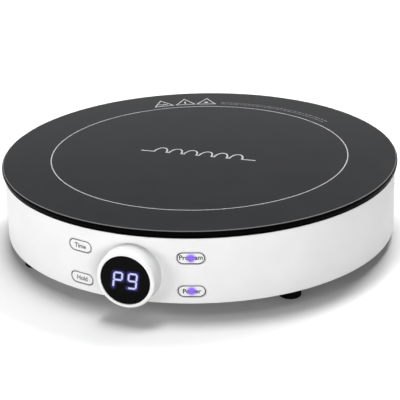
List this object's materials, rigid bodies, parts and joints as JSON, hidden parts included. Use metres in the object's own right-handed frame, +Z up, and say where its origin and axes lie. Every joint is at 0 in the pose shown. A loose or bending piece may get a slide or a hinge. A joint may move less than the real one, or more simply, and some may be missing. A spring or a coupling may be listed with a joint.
{
  "type": "induction cooktop",
  "caption": "Round portable electric induction cooktop: black glass top on a white drum with a rotary knob around a digit display, push keys and rubber feet.",
  "frame": {"origin": "middle of the footprint's bounding box, on the surface that the feet stand on", "axes": "+Z up, through the glass; -Y the front, towards the knob; +X the right-hand side seen from the front. The drum's own axis is at y = +0.0062"},
  "size_m": [0.282, 0.2944, 0.058],
  "materials": {
    "housing_white": "white moulded plastic with a satin sheen",
    "knob_white": "white moulded plastic, smooth",
    "key_white": "white moulded plastic with grey printing",
    "black_glass": "opaque black glass ceramic, polished, with a rounded edge",
    "display_glass": "smoked black window, polished",
    "black_plastic": "black moulded plastic, fine texture",
    "rubber": "matte black rubber",
    "silicone": "grey silicone",
    "steel": "zinc plated steel",
    "aluminium": "extruded aluminium",
    "copper": "enamelled copper wire",
    "ferrite": "sintered ferrite",
    "mica": "pressed mica sheet",
    "board_green": "green solder mask on glass fibre board",
    "component_blue": "blue moulded capacitor case",
    "ceramic_white": "white ceramic tube",
    "wire_white": "white wire insulation",
    "lamp": "clear moulded lamp body",
    "print_grey": "light grey print fired onto the glass",
    "key_print": "dark grey pad print",
    "digit_glow": "lit violet-white display segments",
    "lamp_glow": "lit violet-blue spot in a key"
  },
  "bodies": {
    "root": {"housing": "housing_white", "bottom_cover": "housing_white", "glass_plate": "black_glass", "glass_frame": "black_plastic", "glass_seal": "silicone", "foot_front_left": "rubber", "foot_front_right": "rubber", "foot_rear_left": "rubber", "foot_rear_right": "rubber", "cover_screw_1": "steel", "cover_screw_2": "steel", "cover_screw_3": "steel", "cover_screw_4": "steel", "coil_screw_1": "steel", "coil_screw_2": "steel", "coil_screw_3": "steel", "display_barrel": "black_plastic", "display_window": "display_glass", "display_board": "board_green", "display_module": "black_plastic", "encoder_body": "steel", "control_board": "board_green", "timer_switch": "black_plastic", "lock_switch": "black_plastic", "function_switch": "black_plastic", "power_switch": "black_plastic", "function_lamp": "lamp", "power_lamp": "lamp", "coil_former": "black_plastic", "induction_coil": "copper", "ferrite_bar_1": "ferrite", "ferrite_bar_2": "ferrite", "ferrite_bar_3": "ferrite", "ferrite_bar_4": "ferrite", "mica_sheet": "mica", "thermistor_holder": "silicone", "thermistor": "steel", "power_board": "board_green", "igbt": "black_plastic", "bridge_rectifier": "black_plastic", "resonant_capacitor": "component_blue", "smoothing_capacitor": "component_blue", "heat_sink": "aluminium", "filter_choke": "copper", "fuse": "ceramic_white", "buzzer": "black_plastic", "fan_frame": "black_plastic", "coil_lead_inner": "copper", "coil_lead_outer": "copper", "thermistor_lead": "wire_white", "fan_lead": "black_plastic", "control_ribbon": "wire_white", "cord_gland": "rubber"},
    "knob": {"knob_ring": "knob_white", "encoder_rotor": "black_plastic"},
    "fan": {"fan_impeller": "black_plastic"},
    "timer_button": {"timer_key": "key_white"},
    "lock_button": {"lock_key": "key_white"},
    "function_button": {"function_key": "key_white"},
    "power_button": {"power_key": "key_white"}
  },
  "joints": [
    {"name": "knob_turn", "type": "hinge", "parent": "root", "child": "knob", "pos_m": [0, -0.14, 0.0274], "axis": [0, -1, 0], "continuous": true},
    {"name": "fan_spin", "type": "hinge", "parent": "root", "child": "fan", "pos_m": [-0.055, 0.0162, 0.0178], "axis": [0, 0, 1], "continuous": true},
    {"name": "timer_press", "type": "slide", "parent": "root", "child": "timer_button", "axis": [0, 1, 0], "range_m": [0, 0.0008], "stiffness_N_per_m": 400, "springref_m": -0.002},
    {"name": "lock_press", "type": "slide", "parent": "root", "child": "lock_button", "axis": [0, 1, 0], "range_m": [0, 0.0008], "stiffness_N_per_m": 400, "springref_m": -0.002},
    {"name": "function_press", "type": "slide", "parent": "root", "child": "function_button", "axis": [0, 1, 0], "range_m": [0, 0.0008], "stiffness_N_per_m": 400, "springref_m": -0.002},
    {"name": "power_press", "type": "slide", "parent": "root", "child": "power_button", "axis": [0, 1, 0], "range_m": [0, 0.0008], "stiffness_N_per_m": 400, "springref_m": -0.002}
  ]
}
